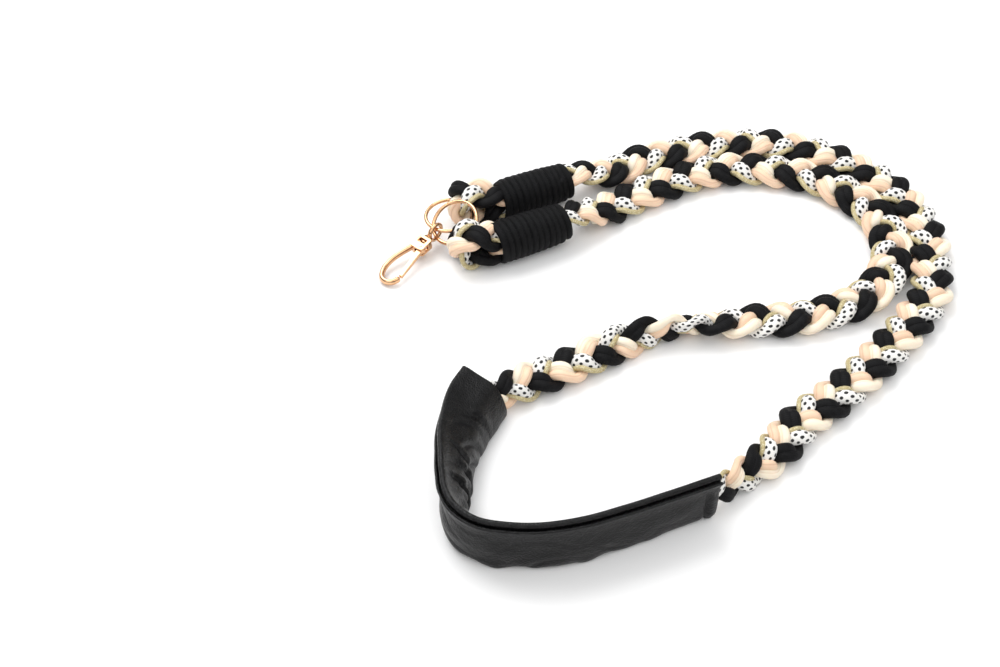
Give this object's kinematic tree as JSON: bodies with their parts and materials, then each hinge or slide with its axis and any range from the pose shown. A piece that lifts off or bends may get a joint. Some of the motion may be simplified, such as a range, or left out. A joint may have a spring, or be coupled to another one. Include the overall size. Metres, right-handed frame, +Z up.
{
  "type": "phone crossbody strap",
  "caption": "Braided cord crossbody strap with a leather shoulder sleeve, whipped loop ends, split rings and a swivelling snap hook, lying as a closed loop.",
  "frame": {"origin": "middle of the lying loop's box, on the surface that it lies on", "axes": "+Z up from the surface; +Y from the leather sleeve to the far bend; +X to the right with the sleeve in front"},
  "size_m": [0.2766, 0.288, 0.0302],
  "materials": {
    "black_cord": "braided black cord, satin, fine ribs",
    "blush_cord": "smooth flat cords in pale peach and cream, soft lengthwise crease",
    "dotted_cord": "white woven cord with small black dots beside a thin pale gold metallic cord",
    "whipping_cord": "black cord wound turn beside turn, ribbed",
    "black_leather": "soft black leather, fine grain, low sheen, stitched top edge",
    "rose_gold_metal": "polished pale rose gold plating"
  },
  "bodies": {
    "strap": {"shoulder_sleeve": "black_leather", "outer_black_strand": "black_cord", "outer_blush_strand": "blush_cord", "outer_dotted_strand": "dotted_cord", "inner_black_strand": "black_cord", "inner_blush_strand": "blush_cord", "inner_dotted_strand": "dotted_cord", "outer_whipping": "whipping_cord", "inner_whipping": "whipping_cord", "outer_ring": "rose_gold_metal", "inner_ring": "rose_gold_metal", "swivel_eye": "rose_gold_metal"},
    "hook": {"hook_body": "rose_gold_metal"},
    "gate": {"gate_lever": "rose_gold_metal"}
  },
  "joints": [
    {"name": "hook_swivel", "type": "hinge", "parent": "strap", "child": "hook", "pos_m": [-0.11171, 0.06162, 0.0082], "axis": [-0.6349, -0.7566, -0.1564], "continuous": true},
    {"name": "gate_hinge", "type": "hinge", "parent": "hook", "child": "gate", "pos_m": [-0.11828, 0.05115, 0.00626], "axis": [-0.1005, -0.1198, 0.9877], "range_deg": [-20, 0], "stiffness_Nm_per_rad": 0.03, "springref_deg": 8.59}
  ]
}
